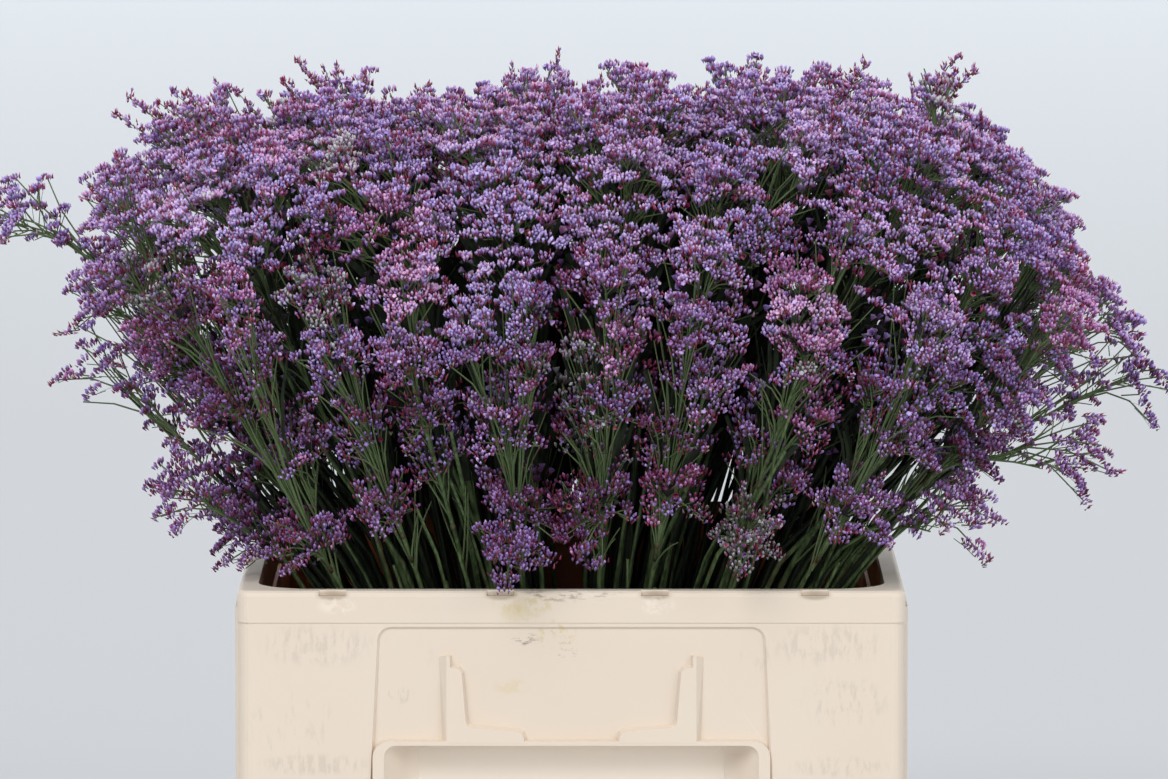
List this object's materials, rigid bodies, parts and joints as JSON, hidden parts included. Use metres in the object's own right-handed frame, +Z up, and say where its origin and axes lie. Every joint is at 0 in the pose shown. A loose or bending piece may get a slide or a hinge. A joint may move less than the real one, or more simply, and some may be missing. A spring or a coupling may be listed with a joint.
{
  "type": "dried statice in a flower container",
  "caption": "Fan-shaped mass of lilac statice sprays on green stems, standing in a cream plastic container with a terracotta tub.",
  "frame": {"origin": "middle of the container's flat underside", "axes": "+Z up, -Y towards the front with the label bracket, +X to the viewer's right along the container's length"},
  "size_m": [1.069, 0.6688, 0.8336],
  "materials": {
    "cream_plastic": "satin, scuffed",
    "terracotta_plastic": "matte",
    "flowers": "matte petals",
    "stems": "matte stem"
  },
  "bodies": {
    "root": {"collar": "cream_plastic", "tub": "terracotta_plastic", "spray_01": "flowers", "spray_02": "flowers", "spray_03": "flowers", "spray_04": "flowers", "spray_05": "flowers", "spray_06": "flowers", "spray_07": "flowers", "spray_08": "flowers", "spray_09": "flowers", "spray_10": "flowers", "spray_11": "flowers", "spray_12": "flowers", "spray_13": "flowers", "spray_14": "flowers", "spray_15": "flowers", "spray_16": "flowers", "spray_17": "flowers", "spray_18": "flowers", "spray_19": "flowers", "spray_20": "flowers", "spray_21": "flowers", "spray_22": "flowers", "spray_23": "flowers", "spray_24": "flowers", "spray_25": "flowers", "spray_26": "flowers", "spray_27": "flowers", "spray_28": "flowers", "spray_29": "flowers", "spray_30": "flowers", "spray_31": "flowers", "spray_32": "flowers", "spray_33": "flowers", "spray_34": "flowers", "spray_35": "flowers", "spray_36": "flowers", "spray_37": "flowers", "spray_38": "flowers", "spray_39": "flowers", "spray_40": "flowers", "spray_41": "flowers", "spray_42": "flowers", "spray_43": "flowers", "spray_44": "flowers", "spray_45": "flowers", "spray_46": "flowers", "spray_47": "flowers", "spray_48": "flowers", "spray_49": "flowers", "spray_50": "flowers", "spray_51": "flowers", "spray_52": "flowers", "spray_53": "flowers", "spray_54": "flowers", "spray_55": "flowers", "spray_56": "flowers"}
  },
  "joints": []
}
